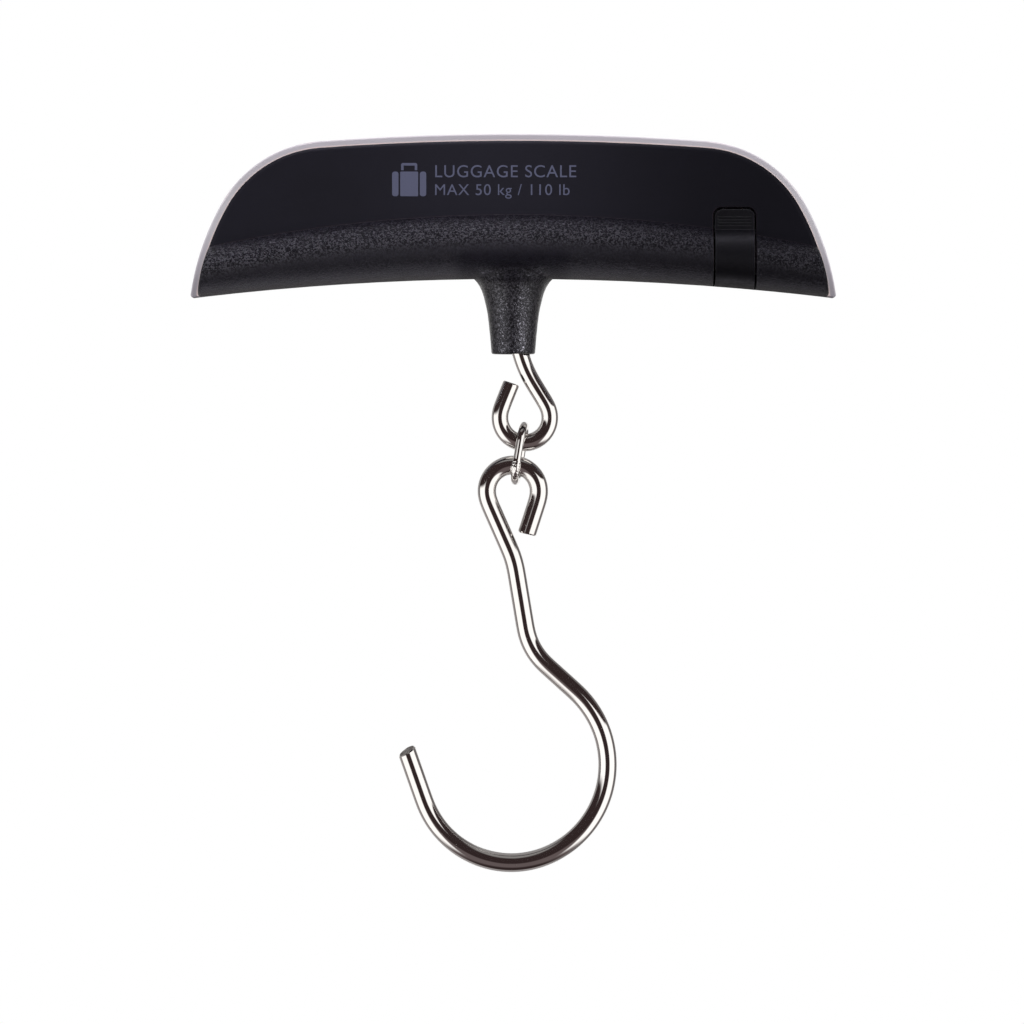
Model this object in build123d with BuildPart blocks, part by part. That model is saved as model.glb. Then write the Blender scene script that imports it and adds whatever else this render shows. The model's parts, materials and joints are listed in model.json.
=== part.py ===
from build123d import *
import os
from math import sqrt, sin, cos, radians, atan2

os.makedirs("parts", exist_ok=True)

# ---------------------------------------------------------------------------
# Digital luggage scale with a T-shaped handle, a swivelling wire eye, a welded
# link and a big wire hook.  Millimetres.  +Z up, +X to the right when looking
# at the battery side, -Y is the battery side (rear) and +Y is the display side
# (front).  The origin is on the swivel axis, at the middle height of the grip.
# ---------------------------------------------------------------------------

# --- outline of the handle, as three tangent arcs a side; centres are (x, z) --
crown_r, crown_center_z = 623.9, -596.79    # long, shallow top curve
corner_r, corner_center = 28.99, (43.418, -3.465)
side_r, side_center = 61.22, (15.286, -19.191)
cover_apex, cover_arch_r = -6.1, 542.0      # underside of the silver cover
body_apex, body_arch_r = -6.98, 628.2       # underside of the black housing
body_inset = 1.83                           # black outline inside the silver one

# --- depth stack (Y) ---------------------------------------------------------
panel_y = -6.0          # flat upper panel of the rear housing
grip_y = -13.5          # rearmost point of the hand grip
grip_root_y = -3.0      # where the grip's curve turns level
parting_y = 3.0         # rear edge of the cover's skirt
lip_y = 6.0             # front edge of the housing inside the cover
cover_y = 13.5          # front face of the cover
wall = 1.8
skirt = 1.7
lip_apex = cover_apex + skirt + 0.12    # underside of the lip that nests in the cover

# --- snap ridges on the lip, which click into pockets in the cover -------------
snap_crown_x = (-32.0, 0.0, 32.0)
snap_underside_x = (-30.0, 30.0)
snap_w, snap_h = 7.0, 1.7
snap_pocket_w = snap_w + 0.6

# --- grip --------------------------------------------------------------------
crease_apex, crease_r = 7.87, 340.0         # top line of the grip on the panel
grip_half_len = 75.0
grip_end_thinning = 0.16                    # share of the depth lost at the ends
grip_stations = [-75.0, -61.4, -47.7, -34.1, -20.5, -6.8,
                 6.8, 20.5, 34.1, 47.7, 61.4, 75.0]

# --- neck stations: height, half width (X), half depth (Y) ---------------------
neck_taper = [
    (-24.7, 5.12, 5.6), (-22.0, 5.32, 5.95), (-19.3, 5.58, 6.4),
    (-16.6, 5.88, 6.9), (-13.9, 6.30, 7.5), (-11.2, 6.95, 8.2),
]
neck_flare = [(-11.2, 6.95, 8.2), (-9.8, 7.42, 8.66), (-8.4, 8.14, 9.21), (-7.0, 9.35, 10.0)]
neck_bottom = neck_taper[0][0]
neck_top_front = -6.3
mouth_r, shoulder_r, bush_seat_r = 4.25, 2.9, 4.0
mouth_top, bush_bottom, bush_top = -17.6, -15.5, -7.0

# --- wires -------------------------------------------------------------------
stem_r = 2.0            # 4.0 mm wire
hook_r = 2.2            # 4.4 mm wire
link_r = 0.95           # 1.9 mm wire
stem_top = 9.6

# --- battery door ------------------------------------------------------------
door_x, door_w, door_top = 51.9, 9.2, 9.2
slot_w, slot_top = 10.1, 9.65
cut_bottom = -14.0      # door and slot outlines run down past the underside
door_t = 1.4
door_crease = 4.4
door_lines = (5.5, 6.2, 6.9, 7.6)    # heights of the finger lines
pivot_y, pivot_z = 1.6, -7.85
knuckle_r, trunnion_r, trunnion_hole_r = 0.8, 0.45, 0.51
trunnion_len = 1.25

# --- battery: 16 x 3.2 mm coin cell, axis along X -----------------------------
cell_r, cell_t = 8.0, 3.2
cell_y, cell_z = 3.35, 1.3

# --- electronics ---------------------------------------------------------------
board_y0, board_y1 = 6.6, 7.8
window_w, window_h, window_z = 44.0, 17.0, 11.0
lens_recess, lens_corner_r = 1.0, 2.5
button_x, button_z = 38.0, 9.0
button_w, button_h, button_gap = 14.0, 8.0, 0.2
button_back_y = 10.7
board_screw_points = [(-28.0, 17.5), (28.0, 17.5), (-28.0, 0.5), (28.0, 0.5)]

# --- load cell -----------------------------------------------------------------
beam_x0, beam_x1, beam_half_y = -46.0, 5.5, 4.0
beam_z0, beam_z1 = -2.5, 4.5
beam_mid_z = 0.5 * (beam_z0 + beam_z1)
beam_screw_points = [(-42.0, beam_mid_z), (-33.0, beam_mid_z)]
washer_bottom, washer_t = beam_z1 + 0.04, 1.0


# ---------------------------------------------------------------------------
# Geometry helpers
# ---------------------------------------------------------------------------
def at_y(y):
    """XZ plane at depth y.  It faces the rear, so a positive extrusion runs to -Y."""
    return Plane.XZ.offset(-y)


def unit(x, z):
    length = sqrt(x * x + z * z)
    return (x / length, z / length)


def point_on(center, radius, direction):
    return (center[0] + radius * direction[0], center[1] + radius * direction[1])


def mirrored(point):
    return (-point[0], point[1])


def arch_z(x, apex, radius):
    """Height of a shallow downward arch at x."""
    return apex - (radius - sqrt(radius * radius - x * x))


def crown_z(x, inset):
    return crown_center_z + sqrt((crown_r - inset) ** 2 - x * x)


def snap_points(shift):
    """(x, z) of the snaps, moved by `shift` from the lip's edges into the outline."""
    top = [(x, crown_z(x, body_inset) - shift) for x in snap_crown_x]
    underside = [(x, arch_z(x, lip_apex, cover_arch_r) + shift) for x in snap_underside_x]
    return top + underside


def side_meets_arch(inset, apex, arch_r):
    """Point where the side arc of the outline meets the underside arch, by bisection."""
    radius = side_r - inset
    low, high = -25.0, 5.0
    for _ in range(80):
        z = 0.5 * (low + high)
        x = side_center[0] + sqrt(radius * radius - (z - side_center[1]) ** 2)
        if z > arch_z(x, apex, arch_r):
            high = z
        else:
            low = z
    return (x, z)


def draw_outline(inset, apex, arch_r):
    """Closed outline of the handle in XZ, drawn into the open line."""
    corner_radius, side_radius = corner_r - inset, side_r - inset
    # directions from the arc centres to the joints and to the middles of the arcs
    to_crown = unit(corner_center[0], corner_center[1] - crown_center_z)
    to_side = unit(corner_center[0] - side_center[0], corner_center[1] - side_center[1])
    to_corner_mid = unit(to_crown[0] + to_side[0], to_crown[1] + to_side[1])
    foot = side_meets_arch(inset, apex, arch_r)
    to_foot = unit(foot[0] - side_center[0], foot[1] - side_center[1])
    to_side_mid = unit(to_side[0] + to_foot[0], to_side[1] + to_foot[1])

    crown_end = point_on(corner_center, corner_radius, to_crown)
    corner_mid = point_on(corner_center, corner_radius, to_corner_mid)
    corner_end = point_on(corner_center, corner_radius, to_side)
    side_mid = point_on(side_center, side_radius, to_side_mid)

    ThreePointArc(mirrored(crown_end), (0, crown_center_z + crown_r - inset), crown_end)
    ThreePointArc(crown_end, corner_mid, corner_end)
    ThreePointArc(corner_end, side_mid, foot)
    ThreePointArc(foot, (0, apex), mirrored(foot))
    ThreePointArc(mirrored(foot), mirrored(side_mid), mirrored(corner_end))
    ThreePointArc(mirrored(corner_end), mirrored(corner_mid), mirrored(crown_end))


def draw_bulge_section(x, crease_z, inset, front_y, front_z=None):
    """Section in YZ: half an ellipse to the rear, then walls forward to `front_y`.

    Without inset, the ellipse starts on the underside and crosses the panel at
    `crease_z`.  The lower wall ends at `front_z`, or stays level if that is None.
    """
    underside = arch_z(x, body_apex, body_arch_r)
    full_depth = (grip_root_y - grip_y) * (1.0 - grip_end_thinning * (x / grip_half_len) ** 2)
    crossing = sqrt(1.0 - ((grip_root_y - panel_y) / full_depth) ** 2)
    full_half = (crease_z - underside) / (1.0 + crossing)
    mid = underside + full_half
    half, depth = full_half - inset, full_depth - inset
    if front_z is None:
        front_z = mid - half
    EllipticalCenterArc((grip_root_y, mid), depth, half, start_angle=90, arc_size=180)
    Line((grip_root_y, mid - half), (front_y, front_z))
    Line((front_y, front_z), (front_y, mid + half))
    Line((front_y, mid + half), (grip_root_y, mid + half))


def draw_grip_section(x, inset, front_y):
    draw_bulge_section(x, arch_z(x, crease_apex, crease_r), inset, front_y)


def draw_wire(start, heading, segments):
    """Chain of ("line", length) and ("arc", radius, left turn in degrees) in XZ."""
    x, z = start
    angle = radians(heading)
    for kind, *sizes in segments:
        if kind == "line":
            end = (x + sizes[0] * cos(angle), z + sizes[0] * sin(angle))
            Line((x, z), end)
        else:
            radius, turn = sizes[0], radians(sizes[1])
            side = 1.0 if turn > 0 else -1.0
            center_x = x - side * radius * sin(angle)
            center_z = z + side * radius * cos(angle)
            first = atan2(z - center_z, x - center_x)
            middle = (center_x + radius * cos(first + turn / 2),
                      center_z + radius * sin(first + turn / 2))
            end = (center_x + radius * cos(first + turn),
                   center_z + radius * sin(first + turn))
            ThreePointArc((x, z), middle, end)
            angle += turn
        x, z = end


def save(name, part):
    part.label = name
    export_step(part, "parts/" + name + ".step")


# ---------------------------------------------------------------------------
# Forms used to build the rear housing
# ---------------------------------------------------------------------------
def grip_form(inset, front_y, outline_inset, end_fillet=None):
    """Grip lofted along X and trimmed to the handle's outline at the sides and top."""
    with BuildPart() as part:
        for x in grip_stations:
            with BuildSketch(Plane.YZ.offset(x)):
                with BuildLine():
                    draw_grip_section(x, inset, front_y)
                make_face()
        loft()
        with BuildSketch(at_y(parting_y + 5)):
            with BuildLine():
                draw_outline(outline_inset, body_apex - 8, body_arch_r)
            make_face()
        extrude(amount=30, mode=Mode.INTERSECT)
        if end_fillet:
            end_edges = part.edges().filter_by(
                lambda e: abs(e.center().X) > 66 and e.center().Y < -4)
            fillet(end_edges, end_fillet)
    return part.part


def beam_boss_form():
    """Two round bosses for the load cell, ending inside the grip's wall."""
    boss_r = 3.3
    with BuildPart() as part:
        for x in (-52.0, -42.0, -33.0, -24.0):
            with BuildSketch(Plane.YZ.offset(x)):
                with BuildLine():
                    draw_grip_section(x, wall / 2, grip_root_y + 0.5)
                make_face()
        loft()
        with BuildSketch(at_y(-beam_half_y)):
            with Locations(*beam_screw_points):
                Circle(boss_r)
        extrude(amount=12, mode=Mode.INTERSECT)
    return part.part


def neck_form():
    with BuildPart() as part:
        for stations in (neck_taper, neck_flare):
            for z, half_x, half_y in stations:
                with BuildSketch(Plane.XY.offset(z)):
                    Ellipse(half_y, half_x, rotation=90)
            loft()
        root_z, root_half_x, root_half_y = neck_flare[-1]
        with BuildSketch(Plane.XY.offset(root_z)):
            Ellipse(root_half_x, root_half_y)
        extrude(amount=4.0, taper=-20)
        # the cover's skirt sits over the front half of the neck
        cut_w, cut_depth = 60, 30
        with BuildSketch(Plane.XY.offset(neck_top_front)):
            with Locations((0, parting_y + cut_depth / 2)):
                Rectangle(cut_w, cut_depth)
        extrude(amount=10, mode=Mode.SUBTRACT)
        fillet(part.faces().sort_by(Axis.Z)[0].edges(), 0.5)
    return part.part


# ---------------------------------------------------------------------------
# Rear housing: flat panel, hand grip and tapered neck in one moulding
# ---------------------------------------------------------------------------
def rear_housing():
    hollow_front, lip_hollow_back = 1.8, 1.7
    boss_hole_r, boss_hole_depth = 1.5, 6.4
    neck_bores = [      # bottom, radius, height: wide mouth, shoulder, bush seat
        (neck_bottom, mouth_r, mouth_top - neck_bottom),
        (mouth_top, shoulder_r, bush_bottom - mouth_top),
        (bush_bottom, bush_seat_r, 12.4),
    ]
    slot_front = pivot_y + 0.95
    rib_t, rib_inner = 1.05, 2.05       # thickness, inner face from door_x
    rib_outline = [     # y, z
        (-5.5, -6.0), (-5.5, 1.6), (-3.9, 2.2), (-3.9, 9.9), (-4.8, 9.9),
        (-4.8, 12.0), (5.85, 12.0), (5.85, -6.0), (-5.5, -6.0),
    ]
    cell_gap = 0.15
    trunnion_hole_half = door_w / 2 + trunnion_len + 0.1

    grip_outer = grip_form(0.0, parting_y, body_inset, end_fillet=0.7)
    grip_hollow = grip_form(wall, grip_root_y + 0.5, body_inset + wall + 0.35)
    beam_bosses = beam_boss_form()
    neck = neck_form()

    with BuildPart() as part:
        with BuildSketch(at_y(parting_y)):
            with BuildLine():
                draw_outline(body_inset, body_apex + 3.0, body_arch_r)
            make_face()
        extrude(amount=parting_y - panel_y)
        panel_edges = part.faces().sort_by(Axis.Y)[0].edges().sort_by(Axis.Z)[1:]
        fillet(panel_edges, 1.0)
        add(grip_outer)
        add(neck)
        # lip that nests inside the cover
        with BuildSketch(at_y(lip_y)):
            with BuildLine():
                draw_outline(body_inset, lip_apex, cover_arch_r)
            make_face()
        extrude(amount=lip_y - parting_y)
        # hollows behind the panel, inside the lip and in the grip
        with BuildSketch(at_y(hollow_front)):
            with BuildLine():
                draw_outline(body_inset + wall, body_apex + 2.4, body_arch_r)
            make_face()
        extrude(amount=hollow_front - (panel_y + wall), mode=Mode.SUBTRACT)
        with BuildSketch(at_y(lip_y)):
            with BuildLine():
                draw_outline(body_inset + wall - 0.12, lip_apex + 1.2, cover_arch_r)
            make_face()
        extrude(amount=lip_y - lip_hollow_back, mode=Mode.SUBTRACT)
        add(grip_hollow, mode=Mode.SUBTRACT)
        # bosses that carry the fixed end of the load cell
        add(beam_bosses)
        with BuildSketch(at_y(-beam_half_y)):
            with Locations(*beam_screw_points):
                Circle(boss_hole_r)
        extrude(amount=boss_hole_depth, mode=Mode.SUBTRACT)
        for bottom, radius, height in neck_bores:
            with BuildSketch(Plane.XY.offset(bottom)):
                Circle(radius)
            extrude(amount=height, mode=Mode.SUBTRACT)
        # battery slot through the panel, the grip and the underside
        with BuildSketch(at_y(slot_front)) as slot:
            with Locations((door_x, 0.5 * (slot_top + cut_bottom))):
                Rectangle(slot_w, slot_top - cut_bottom)
            fillet(slot.vertices().sort_by(Axis.Y)[-2:], 2.0)
        extrude(amount=20, mode=Mode.SUBTRACT)
        # ribs either side of the cell, standing on the panel and the lip
        for x in (door_x - rib_inner - rib_t, door_x + rib_inner):
            with BuildSketch(Plane.YZ.offset(x)):
                with BuildLine():
                    Polyline(*rib_outline)
                make_face()
            extrude(amount=rib_t)
        # room for the cell's edge in the lip
        with BuildSketch(Plane.YZ.offset(door_x - rib_inner)):
            with Locations((cell_y, cell_z)):
                Circle(cell_r + cell_gap)
        extrude(amount=2 * rib_inner, mode=Mode.SUBTRACT)
        # trunnion holes in the floor beside the slot
        with BuildSketch(Plane.YZ.offset(door_x - trunnion_hole_half)):
            with Locations((pivot_y, pivot_z)):
                Circle(trunnion_hole_r)
        extrude(amount=2 * trunnion_hole_half, mode=Mode.SUBTRACT)
        # snap ridges on the lip
        for snap_point in snap_points(0.5):
            with BuildSketch(at_y(5.3)):
                with Locations(snap_point):
                    Rectangle(snap_w, snap_h)
            extrude(amount=0.9)
    return part.part


# ---------------------------------------------------------------------------
# Front cover: shallow silver cap with display and button openings, and the lens
# ---------------------------------------------------------------------------
def front_cover():
    boss_r, boss_hole_r, boss_hole_depth = 2.4, 1.0, 3.4
    sight_border = 2.0          # recess floor left around the sight opening
    opening_depth = 3.0         # cuts right through the front wall
    with BuildPart() as part:
        with BuildSketch(at_y(parting_y)) as outline:
            with BuildLine():
                draw_outline(0.0, cover_apex, cover_arch_r)
            make_face()
            fillet(outline.vertices().sort_by(Axis.Y)[:2], 0.65)
        extrude(amount=-(cover_y - parting_y))
        fillet(part.faces().sort_by(Axis.Y)[-1].edges(), 2.6)
        fillet(part.faces().sort_by(Axis.Y)[0].edges(), 0.3)
        with BuildSketch(at_y(parting_y)):
            with BuildLine():
                draw_outline(skirt, cover_apex + skirt, cover_arch_r)
            make_face()
        extrude(amount=-(cover_y - wall - parting_y), mode=Mode.SUBTRACT)
        # bosses for the circuit board, rooted in the front wall
        with BuildSketch(at_y(board_y1)):
            with Locations(*board_screw_points):
                Circle(boss_r)
        extrude(amount=-(cover_y - 1.2 - board_y1))
        with BuildSketch(at_y(board_y1)):
            with Locations(*board_screw_points):
                Circle(boss_hole_r)
        extrude(amount=-boss_hole_depth, mode=Mode.SUBTRACT)
        # display: outer recess for the lens and a smaller sight opening
        with BuildSketch(at_y(cover_y)) as recess:
            with Locations((0, window_z)):
                Rectangle(window_w, window_h)
            fillet(recess.vertices(), lens_corner_r)
        extrude(amount=lens_recess, mode=Mode.SUBTRACT)
        with BuildSketch(at_y(cover_y)) as sight:
            with Locations((0, window_z)):
                Rectangle(window_w - 2 * sight_border, window_h - 2 * sight_border)
            fillet(sight.vertices(), 1.0)
        extrude(amount=opening_depth, mode=Mode.SUBTRACT)
        # oval openings for the two buttons
        with BuildSketch(at_y(cover_y)):
            with Locations((-button_x, button_z), (button_x, button_z)):
                SlotOverall(button_w + button_gap, button_h + button_gap)
        extrude(amount=opening_depth, mode=Mode.SUBTRACT)
        # pockets that the housing's snap ridges click into
        for snap_point in snap_points(0.3):
            with BuildSketch(at_y(5.5)):
                with Locations(snap_point):
                    Rectangle(snap_pocket_w, snap_h)
            extrude(amount=1.3, mode=Mode.SUBTRACT)
    return part.part


def display_window():
    gap = 0.05          # around the lens, and below the cover's front face
    with BuildPart() as part:
        with BuildSketch(at_y(cover_y - gap)) as lens:
            with Locations((0, window_z)):
                Rectangle(window_w - 2 * gap, window_h - 2 * gap)
            fillet(lens.vertices(), lens_corner_r - gap)
        extrude(amount=lens_recess - gap)
        fillet(part.faces().sort_by(Axis.Y)[-1].edges(), 0.25)
    return part.part


# ---------------------------------------------------------------------------
# Display stack
# ---------------------------------------------------------------------------
frame_w, frame_h, frame_front = 50.0, 22.6, 11.6
frame_face_t = 0.5
panel_w, panel_h, lcd_front, lcd_back = 46.0, 19.0, 11.05, 9.1


def lcd_frame():
    pocket_front = frame_front - frame_face_t
    pocket_gap = 0.2
    sight_w, sight_h = 41.0, 14.4
    with BuildPart() as part:
        with BuildSketch(at_y(frame_front)):
            with Locations((0, window_z)):
                Rectangle(frame_w, frame_h)
        extrude(amount=frame_front - board_y1)
        fillet(part.edges().filter_by(Axis.Y), 1.0)
        with BuildSketch(at_y(pocket_front)):
            with Locations((0, window_z)):
                Rectangle(panel_w + pocket_gap, panel_h + pocket_gap)
        extrude(amount=pocket_front - board_y1, mode=Mode.SUBTRACT)
        with BuildSketch(at_y(frame_front)):
            with Locations((0, window_z)):
                Rectangle(sight_w, sight_h)
        extrude(amount=1.0, mode=Mode.SUBTRACT)
    return part.part


def lcd_panel():
    rear_glass_t = 0.9
    ledge_h = 1.8
    with BuildPart() as part:
        with BuildSketch(at_y(lcd_front)):
            with Locations((0, window_z)):
                Rectangle(panel_w, panel_h)
        extrude(amount=lcd_front - lcd_back)
        # rear glass is shorter, so the contact ledge shows
        with BuildSketch(at_y(lcd_back + rear_glass_t)):
            with Locations((0, window_z + (panel_h - ledge_h) / 2)):
                Rectangle(panel_w, ledge_h)
        extrude(amount=rear_glass_t, mode=Mode.SUBTRACT)
    return part.part


def lcd_connector_strip():
    strip_w, strip_h, strip_drop = 43.0, 2.0, 8.2
    strip_front = lcd_back - 0.02
    with BuildPart() as part:
        with BuildSketch(at_y(strip_front)):
            with Locations((0, window_z - strip_drop)):
                Rectangle(strip_w, strip_h)
        extrude(amount=strip_front - board_y1)
    return part.part


# ---------------------------------------------------------------------------
# Circuit board, with its screws and components
# ---------------------------------------------------------------------------
def circuit_board():
    board_w, board_h, board_center = 89.0, 23.0, (-0.5, 9.0)
    with BuildPart() as part:
        with BuildSketch(at_y(board_y1)) as outline:
            with Locations(board_center):
                Rectangle(board_w, board_h)
            chamfer(outline.vertices(), 2.0)
            with Locations(*board_screw_points):
                Circle(1.2, mode=Mode.SUBTRACT)
        extrude(amount=board_y1 - board_y0)
    return part.part


def board_screws():
    """Heads on the rear of the board, shanks forward into the cover's bosses."""
    head_r, head_t = 1.9, 1.1
    shank_r, shank_len = 0.96, 4.2
    cross_len, cross_w, cross_depth = 2.2, 0.5, 0.6
    with BuildPart() as part:
        with BuildSketch(at_y(board_y0)):
            with Locations(*board_screw_points):
                Circle(head_r)
        extrude(amount=head_t)
        fillet(part.faces().filter_by(Axis.Y).group_by(Axis.Y)[0].edges(), 0.5)
        with BuildSketch(at_y(board_y0)):
            with Locations(*board_screw_points):
                Circle(shank_r)
        extrude(amount=-shank_len)
        with BuildSketch(at_y(board_y0 - head_t)):
            with Locations(*board_screw_points):
                Rectangle(cross_len, cross_w)
                Rectangle(cross_w, cross_len)
        extrude(amount=-cross_depth, mode=Mode.SUBTRACT)
    return part.part


def controller_chip():
    """Dome of potting compound over the bare chip."""
    dome_r, dome_t = 4.2, 1.0
    with BuildPart() as part:
        with BuildSketch(at_y(board_y0)):
            with Locations((16.0, 12.0)):
                Circle(dome_r)
        extrude(amount=dome_t)
        fillet(part.faces().sort_by(Axis.Y)[0].edges(), 0.9)
    return part.part


def board_components():
    blocks = [      # width, height, centres (x, z)
        (2.0, 1.25, [(6.0, 16.5), (6.0, 14.5), (25.0, 9.5), (25.0, 11.5)]),
        (5.0, 4.4, [(-10.0, 15.0)]),
        (3.2, 1.6, [(-19.0, 15.5), (-19.0, 12.5)]),
    ]
    with BuildPart() as part:
        with BuildSketch(at_y(board_y0)):
            for width, height, centers in blocks:
                with Locations(*centers):
                    Rectangle(width, height)
            with Locations((34.0, 14.0)):
                Circle(2.0)
        extrude(amount=0.9)
    return part.part


# ---------------------------------------------------------------------------
# Buttons and their switches, one set each side of the display
# ---------------------------------------------------------------------------
switch_size, switch_t = 6.2, 2.1
switch_hole_r, switch_hole_depth = 1.8, 1.5


def switch_body(x):
    with BuildPart() as part:
        with BuildSketch(at_y(board_y1)) as outline:
            with Locations((x, button_z)):
                Rectangle(switch_size, switch_size)
            fillet(outline.vertices(), 0.5)
        extrude(amount=-switch_t)
        with BuildSketch(at_y(board_y1 + switch_t)):
            with Locations((x, button_z)):
                Circle(switch_hole_r)
        extrude(amount=switch_hole_depth, mode=Mode.SUBTRACT)
    return part.part


def switch_plunger(x):
    plunger_back = 9.0
    with BuildPart() as part:
        with BuildSketch(at_y(plunger_back)):
            with Locations((x, button_z)):
                Circle(switch_hole_r - 0.06)
        extrude(amount=-(button_back_y - plunger_back))
        chamfer(part.faces().sort_by(Axis.Y)[-1].edges(), 0.2)
    return part.part


def button(x):
    """Oval cap with a wider flange at the back."""
    flange_extra, flange_t = 2.4, 0.85
    cap_back, cap_len = 11.5, 2.4
    with BuildPart() as part:
        with BuildSketch(at_y(button_back_y)):
            with Locations((x, button_z)):
                SlotOverall(button_w + flange_extra, button_h + flange_extra)
        extrude(amount=-flange_t)
        with BuildSketch(at_y(cap_back)):
            with Locations((x, button_z)):
                SlotOverall(button_w, button_h)
        extrude(amount=-cap_len)
        fillet(part.faces().sort_by(Axis.Y)[-1].edges(), 0.5)
    return part.part


# ---------------------------------------------------------------------------
# Load cell: aluminium bending beam, foil gauges, screws and leads
# ---------------------------------------------------------------------------
flexure_x = (-21.0, -15.0)      # the beam's two overlapping bores, gauges above and below


def load_cell_beam():
    bore_r, bridge_h = 2.7, 1.6
    with BuildPart() as part:
        with BuildSketch(at_y(-beam_half_y)) as profile:
            with Locations((0.5 * (beam_x0 + beam_x1), beam_mid_z)):
                Rectangle(beam_x1 - beam_x0, beam_z1 - beam_z0)
            fillet(profile.vertices(), 0.6)
            # the bores and the slot joining them make the thin flexing sections
            with Locations(*[(x, beam_mid_z) for x in flexure_x]):
                Circle(bore_r, mode=Mode.SUBTRACT)
            with Locations((sum(flexure_x) / 2, beam_mid_z)):
                Rectangle(flexure_x[1] - flexure_x[0], bridge_h, mode=Mode.SUBTRACT)
            with Locations(*beam_screw_points):
                Circle(1.6, mode=Mode.SUBTRACT)
        extrude(amount=-2 * beam_half_y)
        # hole for the stem
        with BuildSketch(Plane.XY.offset(beam_z0)):
            Circle(stem_r + 0.15)
        extrude(amount=beam_z1 - beam_z0, mode=Mode.SUBTRACT)
    return part.part


def strain_gauges():
    gauge_len, gauge_w, gauge_t = 4.2, 3.4, 0.12
    with BuildPart() as part:
        for z in (beam_z1, beam_z0 - gauge_t):
            with BuildSketch(Plane.XY.offset(z)):
                with Locations(*[(x, 0) for x in flexure_x]):
                    Rectangle(gauge_len, gauge_w)
            extrude(amount=gauge_t)
    return part.part


def load_cell_screws():
    """Heads on the front of the beam, shanks back into the grip's bosses."""
    head_r, head_t = 2.75, 1.3
    shank_r, shank_past_beam = 1.48, 6.0
    cross_len, cross_w, cross_depth = 3.2, 0.6, 0.8
    with BuildPart() as part:
        with BuildSketch(at_y(beam_half_y)):
            with Locations(*beam_screw_points):
                Circle(head_r)
        extrude(amount=-head_t)
        fillet(part.faces().filter_by(Axis.Y).group_by(Axis.Y)[-1].edges(), 0.7)
        with BuildSketch(at_y(beam_half_y)):
            with Locations(*beam_screw_points):
                Circle(shank_r)
        extrude(amount=2 * beam_half_y + shank_past_beam)
        with BuildSketch(at_y(beam_half_y + head_t)):
            with Locations(*beam_screw_points):
                Rectangle(cross_len, cross_w)
                Rectangle(cross_w, cross_len)
        extrude(amount=cross_depth, mode=Mode.SUBTRACT)
    return part.part


def load_cell_wires():
    """Four leads fanning out from the upper gauges to the circuit board."""
    wire_r = 0.25
    with BuildPart() as part:
        for i in range(4):
            with BuildLine() as lead:
                Spline(
                    (-23.4, -1.35 + 0.9 * i, 4.95),
                    (-27.0, -0.4 + 1.0 * i, 6.0 + 0.6 * i),
                    (-31.0, 4.2, 8.2 + 1.2 * i),
                    (-34.0, 6.55, 9.4 + 1.5 * i),
                    tangents=((-1, 0, 0.2), (-0.5, 1, 0.2)),
                )
            with BuildSketch(Plane(origin=lead.line @ 0, z_dir=lead.line % 0)):
                Circle(wire_r)
            sweep()
    return part.part


# ---------------------------------------------------------------------------
# Swivel: wire stem, nut, washer and the bush in the neck
# ---------------------------------------------------------------------------
def stem_hook():
    """Straight shank down the axis, offset bend, then an open eye."""
    segments = [
        ("line", stem_top + 17.12), ("arc", 12.0, 15.7), ("line", 4.966),
        ("arc", 24.48, 15.8), ("line", 6.1), ("arc", 5.875, -233.4), ("line", 6.36),
    ]
    with BuildPart() as part:
        with BuildLine(Plane.XZ):
            draw_wire((0.0, stem_top), -90.0, segments)
        with BuildSketch(Plane.XY.offset(stem_top)):
            Circle(stem_r)
        sweep()
        chamfer(part.faces().sort_by(Axis.Z)[-1].edges(), 0.4)
    return part.part


def thrust_washer():
    with BuildPart() as part:
        with BuildSketch(Plane.XY.offset(washer_bottom)):
            Circle(3.9)
            Circle(stem_r + 0.08, mode=Mode.SUBTRACT)
        extrude(amount=washer_t)
    return part.part


def stem_nut():
    nut_half_flats, nut_t = 3.5, 3.2
    with BuildPart() as part:
        with BuildSketch(Plane.XY.offset(washer_bottom + washer_t)):
            RegularPolygon(nut_half_flats, 6, major_radius=False)
            Circle(stem_r + 0.02, mode=Mode.SUBTRACT)
        extrude(amount=nut_t)
    return part.part


def neck_bush():
    with BuildPart() as part:
        with BuildSketch(Plane.XY.offset(bush_bottom)):
            Circle(bush_seat_r - 0.02)
            Circle(stem_r + 0.06, mode=Mode.SUBTRACT)
        extrude(amount=bush_top - bush_bottom)
        chamfer(part.faces().sort_by(Axis.Z)[-1].edges(), 0.3)
    return part.part


# ---------------------------------------------------------------------------
# Welded link and the big hook
# ---------------------------------------------------------------------------
def link_ring():
    """Tilted and twisted stadium between the two eyes."""
    center = (1.515, 0.0, -48.0)
    half_len, half_w = 6.5, 3.45
    tilt, twist = radians(9.45), radians(6.0)
    up = Vector(sin(tilt), 0.0, cos(tilt))
    across = Vector(sin(twist) * cos(tilt), cos(twist), -sin(twist) * sin(tilt))
    link_plane = Plane(origin=center, x_dir=across, z_dir=across.cross(up))
    straight = half_len - half_w        # half length of the straight sides
    with BuildPart() as part:
        with BuildLine(link_plane) as path:
            Line((half_w, -straight), (half_w, straight))
            ThreePointArc((half_w, straight), (0, half_len), (-half_w, straight))
            Line((-half_w, straight), (-half_w, -straight))
            ThreePointArc((-half_w, -straight), (0, -half_len), (half_w, -straight))
        with BuildSketch(Plane(origin=path.line @ 0, z_dir=path.line % 0)):
            Circle(link_r)
        sweep()
    return part.part


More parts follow.
